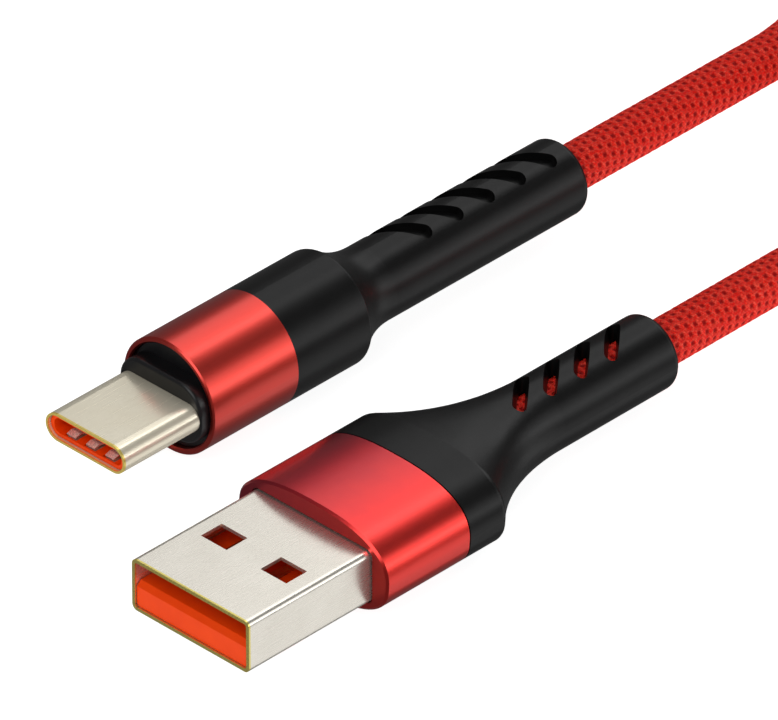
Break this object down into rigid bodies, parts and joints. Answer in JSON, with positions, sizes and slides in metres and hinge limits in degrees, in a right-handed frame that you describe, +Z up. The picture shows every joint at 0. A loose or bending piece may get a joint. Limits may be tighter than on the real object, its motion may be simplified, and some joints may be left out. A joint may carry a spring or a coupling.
{
  "type": "charging cable",
  "caption": "Braided charging cable with a type A plug and a type C plug, metal collars, slotted rubber boots and a tied hank of cord.",
  "frame": {"origin": "under the middle of the two plugs, on the surface they lie on", "axes": "+Y from the plug tips back towards the cord, +Z up, +X from the type C plug towards the type A plug"},
  "size_m": [0.0361, 0.1888, 0.0095],
  "materials": {
    "plated_shell": "satin nickel plate",
    "champagne_shell": "polished champagne nickel plate",
    "orange_plastic": "moulded",
    "red_anodised": "satin red anodised",
    "black_rubber": "satin moulded",
    "black_plastic": "fine matte",
    "gold_contact": "gold plated",
    "spring_steel": "stamped",
    "shield_steel": "tinned sheet",
    "crimp_metal": "pressed",
    "circuit_board": "solder mask",
    "chip_plastic": "matte",
    "white_plastic": "natural moulded",
    "wire_insulation": "extruded",
    "red_braid": "woven nylon",
    "black_strap": "hook and loop webbing"
  },
  "bodies": {
    "plugs_and_cord": {"type_a_shell": "plated_shell", "type_a_tongue": "orange_plastic", "type_a_contacts": "gold_contact", "type_a_circuit_board": "circuit_board", "type_a_resistor": "chip_plastic", "type_a_shield_upper": "shield_steel", "type_a_shield_lower": "shield_steel", "type_a_inner_mould": "white_plastic", "type_a_collar": "red_anodised", "type_a_crimp": "crimp_metal", "type_a_wires": "wire_insulation", "type_a_boot": "black_rubber", "type_c_shell": "champagne_shell", "type_c_insulator": "orange_plastic", "type_c_contact_tails": "gold_contact", "type_c_circuit_board": "circuit_board", "type_c_chip": "chip_plastic", "type_c_shield_upper": "shield_steel", "type_c_shield_lower": "shield_steel", "type_c_front_cap": "black_plastic", "type_c_inner_mould": "white_plastic", "type_c_collar": "red_anodised", "type_c_crimp": "crimp_metal", "type_c_wires": "wire_insulation", "type_c_boot": "black_rubber", "cable_to_type_a": "red_braid", "cable_to_type_c": "red_braid", "cable_hank": "red_braid", "hank_tie": "black_strap"},
    "contacts_upper": {"type_c_contacts_upper": "gold_contact"},
    "contacts_lower": {"type_c_contacts_lower": "gold_contact"},
    "ground_springs_upper": {"type_c_ground_springs_upper": "gold_contact"},
    "ground_springs_lower": {"type_c_ground_springs_lower": "gold_contact"},
    "latch_left": {"type_c_latch_left": "spring_steel"},
    "latch_right": {"type_c_latch_right": "spring_steel"}
  },
  "joints": [
    {"name": "contacts_upper_flex", "type": "hinge", "parent": "plugs_and_cord", "child": "contacts_upper", "pos_m": [-0.01161, -0.01307, 0.00534], "axis": [-1, 0, 0], "range_deg": [0, 2.2], "stiffness_Nm_per_rad": 0.5},
    {"name": "contacts_lower_flex", "type": "hinge", "parent": "plugs_and_cord", "child": "contacts_lower", "pos_m": [-0.01161, -0.01307, 0.00421], "axis": [1, 0, 0], "range_deg": [0, 2.2], "stiffness_Nm_per_rad": 0.5},
    {"name": "ground_springs_upper_flex", "type": "hinge", "parent": "plugs_and_cord", "child": "ground_springs_upper", "pos_m": [-0.01161, -0.0174, 0.00562], "axis": [-1, 0, 0], "range_deg": [0, 4], "stiffness_Nm_per_rad": 0.2},
    {"name": "ground_springs_lower_flex", "type": "hinge", "parent": "plugs_and_cord", "child": "ground_springs_lower", "pos_m": [-0.01161, -0.0174, 0.00394], "axis": [1, 0, 0], "range_deg": [0, 4], "stiffness_Nm_per_rad": 0.2},
    {"name": "latch_left_flex", "type": "hinge", "parent": "plugs_and_cord", "child": "latch_left", "pos_m": [-0.01513, -0.01232, 0.00477], "axis": [0, 0, -1], "range_deg": [0, 2], "stiffness_Nm_per_rad": 0.3},
    {"name": "latch_right_flex", "type": "hinge", "parent": "plugs_and_cord", "child": "latch_right", "pos_m": [-0.00809, -0.01232, 0.00477], "axis": [0, 0, 1], "range_deg": [0, 2], "stiffness_Nm_per_rad": 0.3}
  ]
}
